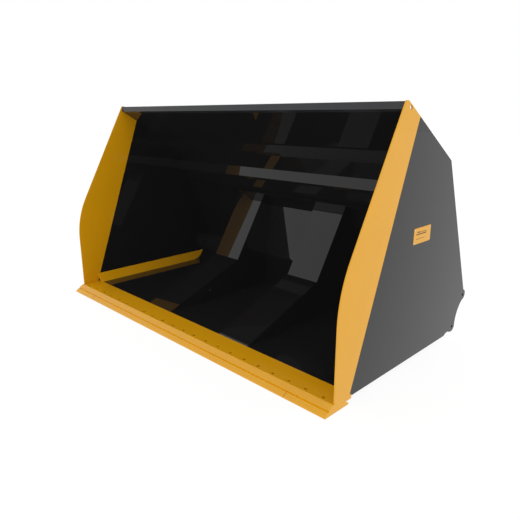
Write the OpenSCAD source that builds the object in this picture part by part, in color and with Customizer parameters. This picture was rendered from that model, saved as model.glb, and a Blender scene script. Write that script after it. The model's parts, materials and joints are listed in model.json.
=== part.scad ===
// Light-material loader bucket with a recessed two-bracket hitch, built up
// from folded sheets, plates, bars and bolted edge segments.
// +X is the bucket's right, -Y its cutting edge, +Z up. The origin is the
// middle of the footprint, on the surface that the bucket rests on.

/* [Bucket] */
// Width over the outer faces of the side plates
bucket_w = 2000; // [1960:10:2200]
// Thickness of the side plates and side edges
side_t = 6; // [5:0.5:8]
// Thickness of the folded shell sheets
sheet_t = 6; // [4:0.5:8]

/* [Side profile] */
// Lean of the mouth's side edge behind the vertical, in degrees
mouth_lean = 28.5; // [26:0.5:31]
// Radius that blends the upright foot of the side edge into its lean
mouth_r = 515; // [400:5:560]
// Height of the mouth's top corner above the base edge
mouth_h = 1098; // [1098:1:1120]
// Width of the side edge at its foot
side_edge_foot = 96; // [85:1:105]
// Lean of the side edge's rear boundary, in degrees
side_edge_lean = 19.9; // [18:0.1:21]
// Fall of the side plate's top boundary, in degrees
roof_fall = 31.1; // [30:0.1:32]
// Lean of the side plate's rear boundary, in degrees
rear_lean = 23.5; // [22.5:0.1:23.5]
// Depth from the mouth's foot to the side plate's upper rear corner
rear_corner_y = 779; // [770:1:779]
// Radius of the heel between the floor and the rear sheet
heel_r = 190; // [190:1:200]

/* [Cutting edges] */
// Thickness of the welded base edge
base_edge_t = 20; // [16:1:25]
// Depth of the base edge behind the mouth's foot
base_edge_back = 108; // [104:1:115]
// Reach of the base edge's nose in front of the mouth's foot
base_edge_nose = 32; // [26:1:40]
// Thickness of the bolt-on reversible edge
bolt_on_t = 19; // [16:1:25]
// Width of the bolt-on reversible edge
bolt_on_w = 148; // [140:1:152]
// Spacing of the edge bolts
bolt_pitch = 89.5; // [86:0.5:90]
// Radius of the tapped holes in the base edge
bolt_hole_r = 7; // [6:0.5:8]

/* [Hitch] */
// Distance of a pocket's inner cheek from the middle
pocket_in = 205; // [195:1:215]
// Distance of a pocket's outer cheek from the middle
pocket_out = 410; // [400:1:420]
// Thickness of the hitch plates
hitch_t = 20; // [16:1:22]
// Radius of the lower pin bores
pin_r = 20; // [15:0.5:22]
// Radius of the upper hooks
hook_r = 22.5; // [20:0.5:24]

/* [Hidden] */
$fn = 64;
steel_black = "#1b1b1d";
steel_grey = "#3a3b3d";
edge_yellow = "#e3a311";
bare_steel = "#9a9da1";

half_w = bucket_w / 2;
inner_w = half_w - side_t;

// Depths (y) and heights (z) below start at the foot of the mouth, on the
// top face of the base edge. in_place() moves them to the origin.
edge_stack = base_edge_t + bolt_on_t;
bolt_on_front = -56.5;
bolt_on_back = bolt_on_front + bolt_on_w;
ear_r = 27;
ear_hole_r = 7.5;
ear_rear = [1063, 166];
ear_low = [974, 19];
mid_y = (bolt_on_front + ear_rear[0] + ear_r) / 2;

// Mouth line: upright, then an arc, then straight up to the top corner
arc_z = 300;
arc_end = [mouth_r * (1 - cos(mouth_lean)), arc_z + mouth_r * sin(mouth_lean)];
apex = [arc_end[0] + tan(mouth_lean) * (mouth_h - arc_end[1]), mouth_h];
apex_flat = 16;
lift_hole = [398, 1073];
lift_hole_r = 9;

// Side plate: top boundary, upper rear corner, rear boundary
top_start = apex + [apex_flat, 0];
rear_corner = [rear_corner_y, mouth_h - tan(roof_fall) * (rear_corner_y - top_start[0])];
side_foot_z = -8;
// the side edge's rear boundary meets the top boundary here
seam_z = (mouth_h - tan(roof_fall) * (side_edge_foot - top_start[0]))
    / (1 + tan(roof_fall) * tan(side_edge_lean));
seam_top = [side_edge_foot + tan(side_edge_lean) * seam_z, seam_z];
ear_scoop_r = 145;

// Inside line of the shell, parallel to the side plate's rear and top
rear_inset = 19.5;
roof_inset = 39;
function rear_y(z) = rear_corner[0] + tan(rear_lean) * (rear_corner[1] - z) - rear_inset;
function rear_z(y) = rear_corner[1] + (rear_corner[0] - rear_inset - y) / tan(rear_lean);
function roof_z(y) = rear_corner[1] + tan(roof_fall) * (rear_corner[0] - y) - roof_inset;
// a point at height z on the rear sheet, moved n outwards
function rear_point(z, n) = [rear_y(z) + n * cos(rear_lean), z + n * sin(rear_lean)];
heel_y = rear_y(0) - heel_r * tan(45 + rear_lean / 2);
heel_c = [heel_y, heel_r];
heel_end = heel_c + heel_r * [cos(rear_lean), sin(rear_lean)];
fold_y = (rear_y(roof_z(0))) / (1 - tan(rear_lean) * tan(roof_fall));
roof_fold = [fold_y, roof_z(fold_y)];
lip = [361, 382];
lip_top = 1095;

// Shelf that closes the pockets' tops against the rear sheet, the pockets'
// own profile below it, and the centre of the back between them
shelf_t = 6;
shelf_nose = [846, 575];
pocket_knee = [616, 197];
shelf_under = shelf_nose[1] - shelf_t;
// the rear sheet's front and back at the height of the shelf's underside
rear_split = [rear_y(shelf_under), shelf_under];
rear_split_back = rear_split + [sheet_t / cos(rear_lean), 0];
centre_line = [[878, 0], [861, 190], [rear_y(498), 498], rear_split];
centre_skin = behind(centre_line, sheet_t);
pocket_line = [[base_edge_back, 0], pocket_knee, shelf_nose];
pocket_skin = behind(pocket_line, sheet_t);
// the pocket's back up to the shelf's underside
skin_rise = (shelf_under - pocket_skin[1][1]) / (pocket_skin[2][1] - pocket_skin[1][1]);
cheek_skin = [
    pocket_skin[0], pocket_skin[1], pocket_skin[1] + (pocket_skin[2] - pocket_skin[1]) * skin_rise
];
window_front = 490;
cheek_hole = [392, 47];
cheek_hole_r = 8;

// Angle iron along the inside of the rear sheet, both toes on the sheet
beam_top = 735;
beam_leg = 58;
beam_t = 6;

// the channel on the outside of the rear sheet reaches this far from the middle
channel_half = 860;

// Hitch plates stand in each pocket, seen from the side
hitch_gap = 26;
hook = [932, 455];
hook_nose = 30;
hitch_pin = [945, 75];
boss_r = 36;
boss_t = 10;
tube = [940, 320];
tube_r = 22;

bolt_count = 22;
// the bolt-on edge is cut at +-split_x, with a gap of split_gap
split_x = 790;
split_gap = 2;
cut_in = split_x - split_gap / 2;
cut_out = split_x + split_gap / 2;
bolt_y = 11;
bolt_head_r = 14;
bolt_head_h = 9;
bolt_top = -6;

runner_w = 60;
plate_y = [497.5, 644];
plate_z = [524.5, 596.5];
plate_t = 2;

// ---- helpers ----

module in_place() translate([0, -mid_y, edge_stack]) children();

module circle_at(c, r) translate(c) circle(r = r);

// (y, z) outlines extruded along X from x0 to x1
module across(x0, x1) for (i = [0 : $children - 1])
    translate([x0, 0, 0]) rotate([90, 0, 90]) linear_extrude(height = x1 - x0) children(i);

// a hole along X at c, through whatever lies between x0 and x1
module hole_across(x0, x1, c, r) across(x0 - 1, x1 + 1) circle_at(c, r);

// the same piece on the bucket's left (-1) or right (+1)
module on_side(side) mirror([side < 0 ? 1 : 0, 0, 0]) children();

// the rising path p moved t back and down, with its ends cut level
function unit(v) = v / norm(v);
function behind(p, t) = [for (i = [0 : len(p) - 1]) let (
    a = unit(p[min(i + 1, len(p) - 1)] - p[min(i, len(p) - 2)]),
    b = unit(p[max(i, 1)] - p[max(i - 1, 0)]),
    m = a == b ? [1, 0] : unit([a[1] + b[1], -a[0] - b[0]])
) p[i] + m * t / (m * [b[1], -b[0]])];

function backwards(p) = [for (i = [len(p) - 1 : -1 : 0]) p[i]];

// ---- sides ----

module side_edge(side) color(edge_yellow) in_place() on_side(side) difference() {
    steps = 10;
    arc = [for (i = [0 : steps]) let (f = mouth_lean * i / steps)
        [mouth_r * (1 - cos(f)), arc_z + mouth_r * sin(f)]];
    across(inner_w, half_w)
        polygon(concat([[0, 0]], arc, [apex, top_start, seam_top, [side_edge_foot, 0]]));
    hole_across(inner_w, half_w, lift_hole, lift_hole_r);
}

module side_plate(side) color(steel_black) in_place() on_side(side) difference() {
    scoop_c = ear_low + [ear_r + ear_scoop_r, 1];
    union() {
        across(inner_w, half_w) difference() {
            polygon([
                [side_edge_foot, 0], seam_top, rear_corner,
                [rear_y(ear_rear[1]) + rear_inset, ear_rear[1]],
                ear_rear + [16, -ear_r], ear_low + [ear_r, 0], ear_low - [0, ear_r],
                [952, -6], [935, 2], [912, 2], [890, side_foot_z],
                [base_edge_back, side_foot_z], [base_edge_back, 0]
            ]);
            circle_at(scoop_c, ear_scoop_r);
        }
        across(inner_w, half_w) {
            circle_at(ear_rear, ear_r);
            circle_at(ear_low, ear_r);
        }
    }
    hole_across(inner_w, half_w, ear_rear, ear_hole_r);
    hole_across(inner_w, half_w, ear_low, ear_hole_r);
}

module name_plate(side) color(edge_yellow) in_place() on_side(side)
    across(half_w, half_w + plate_t) translate([plate_y[0], plate_z[0]])
        square([plate_y[1] - plate_y[0], plate_z[1] - plate_z[0]]);

// ---- shell ----

module floor_plate() color(steel_black) in_place()
    translate([0, 0, -sheet_t]) linear_extrude(height = sheet_t) difference() {
        union() {
            translate([-inner_w, base_edge_back]) square([2 * inner_w, heel_y - base_edge_back]);
            translate([-pocket_in - sheet_t, base_edge_back])
                square([2 * (pocket_in + sheet_t), centre_skin[0][0] - base_edge_back]);
        }
        for (side = [-1, 1]) mirror([side < 0 ? 1 : 0, 0])
            translate([pocket_in + sheet_t, window_front])
                square([pocket_out - pocket_in - 2 * sheet_t, 600]);
    }

// the part of a disc about the heel's centre that the heel bend takes up
module heel_sector(r) intersection() {
    circle_at(heel_c, r);
    polygon([heel_c, heel_c - [0, 300], heel_c + [300, -300],
        heel_c + 300 * [cos(rear_lean), sin(rear_lean)]]);
}

heel_end_back = heel_end + sheet_t * [cos(rear_lean), sin(rear_lean)];

// heel bend and the rear sheet above it, beside the pockets
module rear_lower(side) color(steel_black) in_place() on_side(side) across(pocket_out, inner_w) {
    difference() {
        heel_sector(heel_r + sheet_t);
        circle_at(heel_c, heel_r);
    }
    polygon([heel_end, rear_split, rear_split_back, heel_end_back]);
}

module rear_upper() color(steel_black) in_place() across(-inner_w, inner_w)
    polygon([rear_split, roof_fold,
        roof_fold + sheet_t * [cos(rear_lean), sin(rear_lean)], rear_split_back]);

module roof_panel() color(steel_black) in_place() across(-inner_w, inner_w)
    polygon([
        roof_fold, [lip[1], roof_z(lip[1])], [lip[1], roof_z(lip[1]) + sheet_t / cos(roof_fall)],
        roof_fold + sheet_t / cos(roof_fall) * [0, 1],
        roof_fold + sheet_t * [cos(rear_lean), sin(rear_lean)]
    ]);

module top_lip() color(steel_grey) in_place() across(-inner_w, inner_w)
    polygon([[lip[0], roof_z(lip[1]) + 10], [lip[0], lip_top], [lip[1], lip_top],
        [lip[1], roof_z(lip[1])]]);

module centre_panel() color(steel_black) in_place()
    across(-pocket_in, pocket_in) polygon(concat(centre_line, backwards(centre_skin)));

// s down along the rear sheet from the beam's upper toe, n into the bucket
function beam_at(s, n) = rear_point(beam_top - s * cos(rear_lean), -n);

module cross_beam() color(steel_black) in_place() across(-inner_w, inner_w) {
    reach = beam_leg / sqrt(2);
    wall = beam_t * sqrt(2);
    polygon([beam_at(0, 0), beam_at(reach, reach), beam_at(2 * reach, 0),
        beam_at(2 * reach - wall, 0), beam_at(reach, reach - wall), beam_at(wall, 0)]);
}

// the nose is undercut, and gives way to the pocket faces
module pocket_shelf() color(steel_black) in_place() difference() {
    across(-inner_w, inner_w) polygon([shelf_nose, [rear_y(shelf_nose[1]), shelf_nose[1]],
        rear_split, shelf_nose + [5, -shelf_t]]);
    for (side = [-1, 1]) on_side(side) across(pocket_in, pocket_out) polygon([
        cheek_skin[2], pocket_skin[2], pocket_skin[2] + [0, 5],
        pocket_skin[2] + [-20, 5], cheek_skin[2] + [-20, -5], cheek_skin[2] + [-3, -5]
    ]);
}

module rear_channel() color(steel_black) in_place() across(-channel_half, channel_half) {
    wall = 6;
    low = 610;
    high = 700;
    deep = 45;
    difference() {
        polygon([rear_point(low, sheet_t), rear_point(low, deep),
            rear_point(high, deep), rear_point(high, sheet_t)]);
        polygon([rear_point(low + wall, sheet_t - 1), rear_point(low + wall, deep - wall),
            rear_point(high - wall, deep - wall), rear_point(high - wall, sheet_t - 1)]);
    }
}

module rear_rib(side) color(steel_black) in_place() on_side(side) across(700, 710)
    polygon([rear_point(240, sheet_t), rear_point(270, 40), rear_point(610, 45),
        rear_point(610, sheet_t)]);

// bar across the corner between the floor, the heel bend and the side plate
module corner_bar(side) color(edge_yellow) in_place() on_side(side) intersection() {
    rise = 50;
    run = 44;
    wall = 9;
    across(inner_w - run, inner_w) intersection() {
        translate([side_edge_foot, 0]) square([1000, rise]);
        union() {
            circle_at(heel_c, heel_r);
            square([heel_y, rise]);
        }
    }
    translate([0, 1000, 0]) rotate([90, 0, 0]) linear_extrude(height = 1000)
        polygon([[inner_w, rise], [inner_w - run, 0], [inner_w - run + wall, 0],
            [inner_w, rise - wall - 1]]);
}

// ---- pockets ----

module pocket_ramp(side) color(steel_black) in_place()
    on_side(side) across(pocket_in, pocket_out) polygon([
        pocket_line[0], pocket_line[1], pocket_skin[1], pocket_skin[0]
    ]);

module pocket_face(side) color(steel_black) in_place()
    on_side(side) across(pocket_in, pocket_out) polygon([
        pocket_line[1], pocket_line[2], pocket_skin[2], pocket_skin[1]
    ]);

module inner_cheek(side) color(steel_black) in_place() on_side(side) difference() {
    across(pocket_in, pocket_in + sheet_t) polygon(concat(cheek_skin, backwards(centre_skin)));
    hole_across(pocket_in, pocket_in + sheet_t, cheek_hole, cheek_hole_r);
}

module outer_cheek(side) color(steel_black) in_place() on_side(side) difference() {
    across(pocket_out - sheet_t, pocket_out) {
        polygon(concat(cheek_skin, [rear_split_back, heel_end_back, heel_c, [heel_y, 0]]));
        heel_sector(heel_r + sheet_t);
    }
    hole_across(pocket_out - sheet_t, pocket_out, cheek_hole, cheek_hole_r);
}

// ---- hitch ----

// the outer (true) or inner (false) plate of a bracket
function hitch_x(outer) = outer ? pocket_out - hitch_gap - hitch_t : pocket_in + hitch_gap;

module hitch_plate(side, outer) color(steel_black) in_place() on_side(side) {
    x0 = hitch_x(outer);
    x1 = x0 + hitch_t;
    slot = hook[0] - hook_r;
    nose = hook[0] + hook_r + hook_nose;
    lobe_r = 45;
    difference() {
        across(x0, x1) {
            polygon([
                [560, -sheet_t], pocket_skin[0] * 0.12 + pocket_skin[1] * 0.88, pocket_skin[1],
                pocket_skin[1] * 0.05 + pocket_skin[2] * 0.95, [905, 545], [960, 530], [nose, 495],
                [nose, 440], [nose - 8, 430], [slot, 430], [900, 150], [920, 105], [930, 34],
                [905, -sheet_t]
            ]);
            circle_at(hitch_pin, lobe_r);
        }
        hole_across(x0, x1, hook, hook_r);
        across(x0 - 1, x1 + 1) translate(hook - [hook_r, 60]) square([2 * hook_r, 60]);
        hole_across(x0, x1, hitch_pin, pin_r);
    }
}

module pin_bosses(side) color(steel_black) in_place() on_side(side) {
    for (x = [hitch_x(false) - boss_t, hitch_x(true) + hitch_t]) difference() {
        across(x, x + boss_t) circle_at(hitch_pin, boss_r);
        hole_across(x, x + boss_t, hitch_pin, pin_r);
    }
}

module cross_tube() color(steel_black) in_place() across(-hitch_x(false), hitch_x(false))
    difference() {
        circle_at(tube, tube_r);
        circle_at(tube, tube_r - 5);
    }

module hitch_sill() color(steel_black) in_place()
    across(-hitch_x(false), hitch_x(false)) translate([centre_skin[0][0], -sheet_t])
        square([46, 20]);

// ---- edges ----

function bolt_x(i) = (i - (bolt_count - 1) / 2) * bolt_pitch;

module base_edge() color(edge_yellow) in_place() difference() {
    across(-half_w, half_w) polygon([
        [base_edge_back, 0], [-7, 0], [-base_edge_nose, -base_edge_t + 6],
        [-base_edge_nose, -base_edge_t], [base_edge_back, -base_edge_t]
    ]);
    for (i = [0 : bolt_count - 1]) translate([bolt_x(i), bolt_y, -base_edge_t - 1])
        cylinder(r = bolt_hole_r, h = base_edge_t + 2);
}

module bolt_on_outline() {
    bevel = [18.5, 13];
    polygon([
        [bolt_on_front, -edge_stack], [bolt_on_front, -base_edge_t - bevel[1]],
        [bolt_on_front + bevel[0], -base_edge_t], [bolt_on_back - bevel[0], -base_edge_t],
        [bolt_on_back, -base_edge_t - bevel[1]], [bolt_on_back, -edge_stack]
    ]);
}

// the bolts that fall between x0 and x1
function bolts_in(x0, x1) = [for (i = [0 : bolt_count - 1]) if (bolt_x(i) > x0 && bolt_x(i) < x1) i];

module bolt_on_edge(x0, x1) color(edge_yellow) in_place() difference() {
    across(x0, x1) bolt_on_outline();
    for (i = bolts_in(x0, x1)) translate([bolt_x(i), bolt_y, -edge_stack]) {
        translate([0, 0, -1]) cylinder(r = bolt_hole_r, h = bolt_on_t + 2);
        cylinder(r1 = bolt_head_r, r2 = bolt_hole_r, h = bolt_head_h);
    }
}

module edge_bolts(x0, x1) color(bare_steel) in_place()
    for (i = bolts_in(x0, x1)) translate([bolt_x(i), bolt_y, -edge_stack]) {
        shank_r = bolt_hole_r - 0.1;
        cylinder(r1 = bolt_head_r - 0.1, r2 = shank_r, h = bolt_head_h);
        translate([0, 0, bolt_head_h]) cylinder(r = shank_r, h = edge_stack + bolt_top - bolt_head_h);
    }

// ---- underside ----

module wear_runner(x) color(steel_black) in_place()
    translate([x - runner_w / 2, 0, 0]) rotate([90, 0, 90]) linear_extrude(height = runner_w)
        polygon([
            [base_edge_back + 12, -sheet_t], [base_edge_back + 40, -edge_stack],
            [heel_y - 50, -edge_stack], [heel_y - 8, -sheet_t]
        ]);

base_edge();
bolt_on_edge(-half_w, -cut_out);  // bolt_on_edge_left
bolt_on_edge(-cut_in, cut_in);  // bolt_on_edge_centre
bolt_on_edge(cut_out, half_w);  // bolt_on_edge_right
edge_bolts(-half_w, -cut_out);  // edge_bolts_left
edge_bolts(-cut_in, cut_in);  // edge_bolts_centre
edge_bolts(cut_out, half_w);  // edge_bolts_right
side_plate(-1);  // side_plate_left
side_plate(1);  // side_plate_right
side_edge(-1);  // side_edge_left
side_edge(1);  // side_edge_right
name_plate(-1);  // name_plate_left
name_plate(1);  // name_plate_right
floor_plate();
corner_bar(-1);  // corner_bar_left
corner_bar(1);  // corner_bar_right
rear_lower(-1);  // rear_lower_left
rear_lower(1);  // rear_lower_right
rear_upper();
roof_panel();
top_lip();
cross_beam();
pocket_shelf();
rear_channel();
rear_rib(-1);  // rear_rib_left
rear_rib(1);  // rear_rib_right
centre_panel();
pocket_ramp(-1);  // pocket_ramp_left
pocket_ramp(1);  // pocket_ramp_right
pocket_face(-1);  // pocket_face_left
pocket_face(1);  // pocket_face_right
inner_cheek(-1);  // inner_cheek_left
inner_cheek(1);  // inner_cheek_right
outer_cheek(-1);  // outer_cheek_left
outer_cheek(1);  // outer_cheek_right
hitch_plate(-1, false);  // hitch_plate_left_inner
hitch_plate(-1, true);  // hitch_plate_left_outer
hitch_plate(1, false);  // hitch_plate_right_inner
hitch_plate(1, true);  // hitch_plate_right_outer
pin_bosses(-1);  // pin_bosses_left
pin_bosses(1);  // pin_bosses_right
cross_tube();
hitch_sill();
wear_runner(-910);  // wear_runner_1
wear_runner(-520);  // wear_runner_2
wear_runner(520);  // wear_runner_3
wear_runner(910);  // wear_runner_4
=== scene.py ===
"""Looks for a light-material loader bucket: enamelled sheet shell, bolted edges, recessed hitch."""

import math
import random

import bmesh
import bpy
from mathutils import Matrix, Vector
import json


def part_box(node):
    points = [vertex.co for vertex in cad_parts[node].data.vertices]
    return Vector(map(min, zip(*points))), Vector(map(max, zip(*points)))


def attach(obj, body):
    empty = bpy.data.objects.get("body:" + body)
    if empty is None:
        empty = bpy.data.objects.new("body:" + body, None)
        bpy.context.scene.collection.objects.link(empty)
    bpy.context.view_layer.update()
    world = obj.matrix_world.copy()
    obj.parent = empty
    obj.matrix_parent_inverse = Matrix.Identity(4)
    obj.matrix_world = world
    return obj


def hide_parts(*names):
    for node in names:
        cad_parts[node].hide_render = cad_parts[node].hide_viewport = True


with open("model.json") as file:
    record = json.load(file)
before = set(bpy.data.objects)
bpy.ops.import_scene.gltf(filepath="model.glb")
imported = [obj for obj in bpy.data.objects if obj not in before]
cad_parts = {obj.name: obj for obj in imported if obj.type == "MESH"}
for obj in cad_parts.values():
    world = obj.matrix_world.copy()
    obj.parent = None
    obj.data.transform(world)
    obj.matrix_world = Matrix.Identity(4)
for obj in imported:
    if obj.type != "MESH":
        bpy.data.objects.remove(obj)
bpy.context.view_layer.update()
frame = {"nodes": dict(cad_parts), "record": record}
nodes = frame["nodes"]
MM = 0.001

ARRIS = 0.8 * MM  # rounding of the plates' edges
FINE_ARRIS = 0.3 * MM  # the same on bolts and name plates
WELD_STEP = 3.5 * MM  # distance between the ripples of a weld
BEAD_SIDES = 7
REAR_LEAN = math.radians(23.5)  # of the upper rear sheet, which carries the channel
CHANNEL_DEPTH = 39 * MM
BOLT_PITCH = 89.5 * MM
BOLT_HEAD = 13.9 * MM
BOLT_SHANK = 6.9 * MM
RIVET_SIDES = 14
FLOOR_SIZE = 30
FLOOR_GLOW = 0.92


# ---- materials ----


def linear(code):
    """An sRGB hex colour as linear RGBA."""
    parts = [int(code[i : i + 2], 16) / 255 for i in (1, 3, 5)]
    return tuple(
        c / 12.92 if c <= 0.04045 else ((c + 0.055) / 1.055) ** 2.4 for c in parts
    ) + (1.0,)


def blank_material(name):
    mat = bpy.data.materials.new(name)
    mat.use_nodes = True
    tree = mat.node_tree
    return mat, tree, tree.nodes["Principled BSDF"]


def add_node(tree, kind, inputs=None, **settings):
    """Adds a shader node; an input's value is a constant or another node's output socket."""
    node = tree.nodes.new(kind)
    for key, value in settings.items():
        setattr(node, key, value)
    for key, value in (inputs or {}).items():
        if isinstance(value, bpy.types.NodeSocket):
            tree.links.new(value, node.inputs[key])
        else:
            node.inputs[key].default_value = value
    return node


def enamel(name, base, shade, rough, ior, peel_mm=0.004, ripple_scale=160.0, painted_fill_glow=0.0):
    """Sprayed and baked enamel: a mirror-like skin over an even colour.

    It gives the eye a dark or bright body colour with sharp reflections, a faint cloudiness from
    an uneven coat, and an orange-peel ripple a few millimetres wide. The last argument sets a faint
    even emitted glow: painted fill light that keeps deep black from going fully dark in a white
    room."""
    mat, tree, shader = blank_material(name)
    place = add_node(tree, "ShaderNodeTexCoord").outputs["Object"]
    cloud = add_node(
        tree, "ShaderNodeTexNoise", {"Vector": place, "Scale": 7.0, "Detail": 3.0}
    )
    ramp = add_node(
        tree,
        "ShaderNodeMapRange",
        {"Value": cloud.outputs["Fac"], "From Min": 0.35, "From Max": 0.65, "To Max": 0.5},
    )
    colour = add_node(
        tree, "ShaderNodeMix", {"Factor": ramp.outputs["Result"]}, data_type="RGBA"
    )
    colour.inputs[6].default_value = linear(base)
    colour.inputs[7].default_value = linear(shade)
    tree.links.new(colour.outputs[2], shader.inputs["Base Color"])
    dull = add_node(
        tree,
        "ShaderNodeMapRange",
        {"Value": cloud.outputs["Fac"], "To Min": rough, "To Max": rough + 0.008},
    )
    tree.links.new(dull.outputs["Result"], shader.inputs["Roughness"])
    ripple = add_node(
        tree, "ShaderNodeTexNoise", {"Vector": place, "Scale": ripple_scale, "Detail": 1.0}
    )
    bump = add_node(
        tree,
        "ShaderNodeBump",
        {"Height": ripple.outputs["Fac"], "Strength": 0.15, "Distance": peel_mm * MM},
    )
    tree.links.new(bump.outputs["Normal"], shader.inputs["Normal"])
    shader.inputs["IOR"].default_value = ior
    # Painted light: an even white emission over the whole enamel, a glow that stands in for fill
    # light
    shader.inputs["Emission Color"].default_value = (1, 1, 1, 1)
    shader.inputs["Emission Strength"].default_value = painted_fill_glow
    return mat


# Deep gloss black on every sheet and plate: it mirrors the white room and the yellow edges, and
# carries a faint even painted glow that lifts its darks
BLACK = enamel("gloss_black_enamel", "#101011", "#131314", 0.0, 1.43, 0.0015, painted_fill_glow=0.0028)
# Gloss yellow on the wearing edges, warm and a little darker in the shade
YELLOW = enamel("gloss_yellow_enamel", "#e3a311", "#dfa012", 0.02, 1.45)
# Dull dark grey lip: a soft pale band along the top instead of a mirror
GREY = enamel("satin_grey_enamel", "#2a2b2d", "#303133", 0.16, 1.42)
# Black enamel over a weld bead: broken highlights from the ripples of the weld
WELD = enamel("enamelled_weld_bead", "#1d1d1e", "#2b2b2c", 0.12, 1.40, 0.02, 420.0)
# Brown print on the plate, flat and without gloss
PRINT = enamel("brown_plate_print", "#6b4a18", "#7a5622", 0.45, 1.40)


def metal(name, dark, light, rough):
    """Bare oiled steel: a dark metal with small lighter patches and a satin shine."""
    mat, tree, shader = blank_material(name)
    place = add_node(tree, "ShaderNodeTexCoord").outputs["Object"]
    grain = add_node(tree, "ShaderNodeTexNoise", {"Vector": place, "Scale": 240.0, "Detail": 4.0})
    colour = add_node(tree, "ShaderNodeMix", {"Factor": grain.outputs["Fac"]}, data_type="RGBA")
    colour.inputs[6].default_value = linear(dark)
    colour.inputs[7].default_value = linear(light)
    tree.links.new(colour.outputs[2], shader.inputs["Base Color"])
    shine = add_node(
        tree,
        "ShaderNodeMapRange",
        {"Value": grain.outputs["Fac"], "To Min": rough, "To Max": rough + 0.15},
    )
    tree.links.new(shine.outputs["Result"], shader.inputs["Roughness"])
    shader.inputs["Metallic"].default_value = 1.0
    return mat


# Dark oiled steel of the plough bolts: small grey glints along the edge
BOLT = metal("oiled_bolt_steel", "#4a4a4c", "#68686b", 0.28)
# Bright zinc of the name plates' rivets: pale points of light
ZINC = metal("bright_zinc", "#b9bbbe", "#d2d4d6", 0.22)

SLOT_MATERIAL = {
    "gloss_black_paint": BLACK,
    "yellow_paint": YELLOW,
    "grey_lip_paint": GREY,
    "bolt_steel": BOLT,
}
for part in frame["record"]["subparts"]:
    mesh = nodes[part["node"]].data
    mesh.materials.clear()
    mesh.materials.append(SLOT_MATERIAL[part["material_slot"]])


# ---- rounded arrises on the plates ----

for name, obj in nodes.items():
    bevel = obj.modifiers.new("arris", "BEVEL")
    bevel.width = FINE_ARRIS if name.startswith(("name", "edge_bolts")) else ARRIS
    bevel.segments = 2
    bevel.limit_method = "ANGLE"
    bevel.angle_limit = math.radians(35)
    bevel.harden_normals = True


# ---- detail pieces ----


def add_piece(name, mesh, material, smooth=True):
    """A detail mesh, already in the row frame, that rides on the bucket's body."""
    for face in mesh.polygons:
        face.use_smooth = smooth
    mesh.materials.append(material)
    obj = bpy.data.objects.new(name, mesh)
    bpy.context.scene.collection.objects.link(obj)
    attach(obj, "root")
    return obj


def loft(edit, rings, closed=False, caps=True):
    """Skins equal rings of points one after the other."""
    layers = [[edit.verts.new(p) for p in ring] for ring in rings]
    pairs = list(zip(layers, layers[1:]))
    if closed:
        pairs.append((layers[-1], layers[0]))
    for lower, upper in pairs:
        for k in range(len(lower)):
            n = (k + 1) % len(lower)
            edit.faces.new((lower[k], lower[n], upper[n], upper[k]))
    if caps and not closed:
        edit.faces.new(layers[0][::-1])
        edit.faces.new(layers[-1])


def finish_mesh(name, edit):
    bmesh.ops.recalc_face_normals(edit, faces=edit.faces)
    mesh = bpy.data.meshes.new(name)
    edit.to_mesh(mesh)
    edit.free()
    return mesh


def bead(edit, path, radius, closed=False):
    """A rippled weld bead along a path: every other ring is a little thinner, and each ring varies
    a little in size.
    """
    rings = []
    last = len(path) - 1
    for i, point in enumerate(path):
        ahead = path[(i + 1) % len(path)] if closed else path[min(i + 1, last)]
        behind = path[i - 1] if closed else path[max(i - 1, 0)]
        along = (ahead - behind).normalized()
        side = along.orthogonal().normalized()
        other = along.cross(side)
        r = radius * (1.0 if i % 2 else 0.84) * random.uniform(0.95, 1.0)
        if not closed and i in (0, last):
            r *= 0.45
        rings.append(
            [
                point + side * r * math.cos(t) + other * r * math.sin(t)
                for t in (k * math.tau / BEAD_SIDES for k in range(BEAD_SIDES))
            ]
        )
    loft(edit, rings, closed)


def straight(start, end):
    count = max(4, int((end - start).length / WELD_STEP))
    return [start.lerp(end, i / count) for i in range(count + 1)]


def ring_path(centre, radius):
    """A circle about the X direction."""
    count = 2 * int(math.pi * radius / WELD_STEP)
    return [
        centre + Vector((0, radius * math.cos(t), radius * math.sin(t)))
        for t in (k * math.tau / count for k in range(count))
    ]


def ring_welds(edit, node, inset):
    """A bead round each end of a round bar along X, inset by some millimetres."""
    lo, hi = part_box(node)
    middle = (lo + hi) / 2
    for x in (lo.x + inset * MM, hi.x - inset * MM):
        centre = Vector((x, middle.y, middle.z))
        bead(edit, ring_path(centre, (hi.z - lo.z) / 2), 3 * MM, closed=True)


def stitches(edit, start, stop, margin, length, pitch, point):
    """Short beads in a row; point gives the place at a distance along the row."""
    at = start + margin * MM
    while at + (length + 10) * MM < stop:
        bead(edit, straight(point(at), point(at + length * MM)), 3 * MM)
        at += pitch * MM


def add_welds(name, mesh_name, edit):
    add_piece(name, finish_mesh(mesh_name, edit), WELD)


random.seed(7)

# Welds round the pin bosses, at both ends of the tube and along the pocket backs
for side in ("left", "right"):
    edit = bmesh.new()
    ring_welds(edit, "pin_bosses_" + side, 9)
    add_welds("boss_welds_" + side, "boss_welds", edit)

    face_lo, face_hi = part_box("pocket_face_" + side)
    edit = bmesh.new()
    slope = (face_hi.y - face_lo.y) / (face_hi.z - face_lo.z)
    for plate in ("inner", "outer"):
        lo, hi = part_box("hitch_plate_%s_%s" % (side, plate))
        for x in (lo.x - 1 * MM, hi.x + 1 * MM):
            top = Vector((x, face_hi.y - slope * 60 * MM, face_hi.z - 60 * MM))
            foot = Vector((x, face_hi.y - slope * 330 * MM, face_hi.z - 330 * MM))
            bead(edit, straight(top, foot), 3.5 * MM)
    add_welds("bracket_welds_" + side, "bracket_welds", edit)

edit = bmesh.new()
ring_welds(edit, "cross_tube", 1)
add_welds("tube_welds", "tube_welds", edit)

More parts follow.
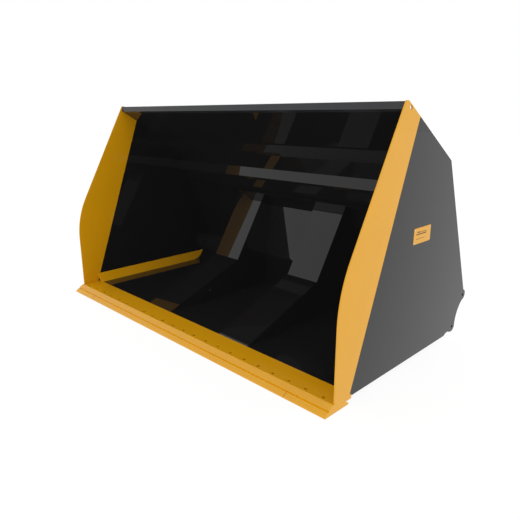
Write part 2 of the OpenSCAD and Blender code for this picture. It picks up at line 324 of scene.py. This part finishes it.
# Long welds that hold the channel to the back of the rear sheet, in stitches
lo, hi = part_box("rear_channel")
edit = bmesh.new()
for y, z in (
    (lo.y, hi.z - CHANNEL_DEPTH * math.sin(REAR_LEAN)),
    (hi.y - CHANNEL_DEPTH * math.cos(REAR_LEAN), lo.z),
):
    stitches(edit, lo.x, hi.x, 10, 80, 160, lambda x: Vector((x, y, z)))
add_welds("channel_welds", "channel_welds", edit)

# Stitches along both sides of each wear runner
edit = bmesh.new()
for number in range(1, 5):
    lo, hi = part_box("wear_runner_%d" % number)
    for x in (lo.x, hi.x):
        stitches(edit, lo.y, hi.y, 30, 60, 130, lambda y: Vector((x, y, hi.z - 1 * MM)))
add_welds("runner_welds", "runner_welds", edit)


def circle(r, z, centre, count=24, hexagon=False):
    ring = []
    for k in range(count):
        t = k * math.tau / count
        reach = r
        if hexagon:
            reach = r / math.cos((t + math.pi / 6) % (math.pi / 3) - math.pi / 6)
        ring.append(centre + Vector((reach * math.cos(t), reach * math.sin(t), z)))
    return ring


# Plough bolts: countersunk head with a hexagon socket, and a threaded shank
for part in ("left", "centre", "right"):
    node = "edge_bolts_" + part
    lo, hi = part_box(node)
    tall = hi.z - lo.z
    count = round((hi.x - lo.x - 2 * BOLT_HEAD) / BOLT_PITCH) + 1
    edit = bmesh.new()
    for i in range(count):
        foot = Vector((lo.x + BOLT_HEAD + i * BOLT_PITCH, (lo.y + hi.y) / 2, lo.z))
        rings = [
            circle(4 * MM, 5 * MM, foot, hexagon=True),
            circle(4 * MM, 0.2 * MM, foot, hexagon=True),
            circle(12.4 * MM, 0.0, foot),
            circle(BOLT_HEAD, 0.5 * MM, foot),
            circle(BOLT_SHANK, 9 * MM, foot),
            circle(BOLT_SHANK, 14 * MM, foot),
        ]
        z = 14.5 * MM
        while z < tall - 2 * MM:
            rings.append(circle(BOLT_SHANK - 0.8 * MM, z, foot))
            rings.append(circle(BOLT_SHANK, z + 0.9 * MM, foot))
            z += 1.8 * MM
        rings.append(circle(BOLT_SHANK - 1.4 * MM, tall, foot))
        loft(edit, rings)
    bolts = add_piece(
        "plough_bolts_" + part, finish_mesh(node, edit), BOLT, False
    )
    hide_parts(node)


def rounded_slab(edit, x0, x1, lo, hi, corner):
    """A plate with rounded corners in the YZ plane, from x0 to x1."""
    outline = []
    for cy, cz, start in (
        (hi[0] - corner, hi[1] - corner, 0),
        (lo[0] + corner, hi[1] - corner, 1),
        (lo[0] + corner, lo[1] + corner, 2),
        (hi[0] - corner, lo[1] + corner, 3),
    ):
        for k in range(6):
            t = (start + k / 5) * math.pi / 2
            outline.append((cy + corner * math.cos(t), cz + corner * math.sin(t)))
    loft(edit, [[Vector((x, y, z)) for y, z in outline] for x in (x0, x1)])


# Name plates without any lettering: a rounded plate, a printed border and bars, four rivets
for side, out in (("left", -1), ("right", 1)):
    node = "name_plate_" + side
    lo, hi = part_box(node)
    back, front = (hi.x, lo.x) if out < 0 else (lo.x, hi.x)

    def depth_at(mm):
        return back + out * mm * MM

    edit = bmesh.new()
    rounded_slab(
        edit,
        back,
        depth_at(0.9),
        (lo.y + 2 * MM, lo.z + 2 * MM),
        (hi.y - 2 * MM, hi.z - 2 * MM),
        5 * MM,
    )
    plate = add_piece("plate_" + side, finish_mesh(node, edit), YELLOW, False)
    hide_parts(node)

    edit = bmesh.new()
    rounded_slab(edit, back, depth_at(0.5), (lo.y, lo.z), (hi.y, hi.z), 6 * MM)
    for y0, z0, y1, z1 in (
        (22, 40, 108, 45),
        (30, 49, 58, 54),
        (66, 49, 108, 52),
        (22, 22, 96, 24),
    ):
        rounded_slab(
            edit,
            depth_at(0.8),
            depth_at(1.1),
            (lo.y + y0 * MM, lo.z + z0 * MM),
            (lo.y + y1 * MM, lo.z + z1 * MM),
            1 * MM,
        )
    add_piece("plate_print_" + side, finish_mesh("print", edit), PRINT, False)

    edit = bmesh.new()
    for y in (lo.y + 10 * MM, hi.y - 10 * MM):
        for z in (lo.z + 10 * MM, hi.z - 10 * MM):
            rings = []
            for reach, mm in ((3.4, 0.9), (3.2, 1.4), (2.2, 1.8), (0.6, 1.98)):
                ring = []
                for t in (k * math.tau / RIVET_SIDES for k in range(RIVET_SIDES)):
                    off_y, off_z = reach * MM * math.cos(t), reach * MM * math.sin(t)
                    ring.append(Vector((depth_at(mm), y + off_y, z + off_z)))
                rings.append(ring)
            loft(edit, rings)
    add_piece("plate_rivets_" + side, finish_mesh("rivets", edit), ZINC)


# ---- stage, light, camera ----

floor_mesh = bpy.data.meshes.new("studio_floor")
edit = bmesh.new()
bmesh.ops.create_grid(edit, x_segments=1, y_segments=1, size=FLOOR_SIZE)
edit.to_mesh(floor_mesh)
edit.free()
floor = bpy.data.objects.new("studio_floor", floor_mesh)
bpy.context.scene.collection.objects.link(floor)
floor.location.z = -0.0005
# Matt white studio sweep that glows a little, so that only the contact shadow shows on it
sweep, tree, shader = blank_material("white_sweep")
shader.inputs["Base Color"].default_value = (0.08, 0.08, 0.08, 1)
shader.inputs["Roughness"].default_value = 0.9
shader.inputs["Emission Color"].default_value = (1, 1, 1, 1)
shader.inputs["Emission Strength"].default_value = FLOOR_GLOW
floor_mesh.materials.append(sweep)

world = bpy.data.worlds.new("soft_white_room")
world.use_nodes = True
world.node_tree.nodes["Background"].inputs["Color"].default_value = (1, 1, 1, 1)
world.node_tree.nodes["Background"].inputs["Strength"].default_value = 1.0
bpy.context.scene.world = world
bpy.context.scene.view_settings.view_transform = "Standard"

camera_data = bpy.data.cameras.new("camera")
camera_data.lens = 35
camera_data.sensor_width = 36
camera = bpy.data.objects.new("camera", camera_data)
bpy.context.scene.collection.objects.link(camera)
azimuth, pitch = math.radians(45), math.radians(16)
look = Vector(
    (
        -math.sin(azimuth) * math.cos(pitch),
        math.cos(azimuth) * math.cos(pitch),
        -math.sin(pitch),
    )
)
camera.location = (1.9875, -1.90065, 1.0845)
camera.rotation_euler = look.to_track_quat("-Z", "Y").to_euler()
bpy.context.scene.camera = camera


# ---- finish ----

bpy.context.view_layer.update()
import json
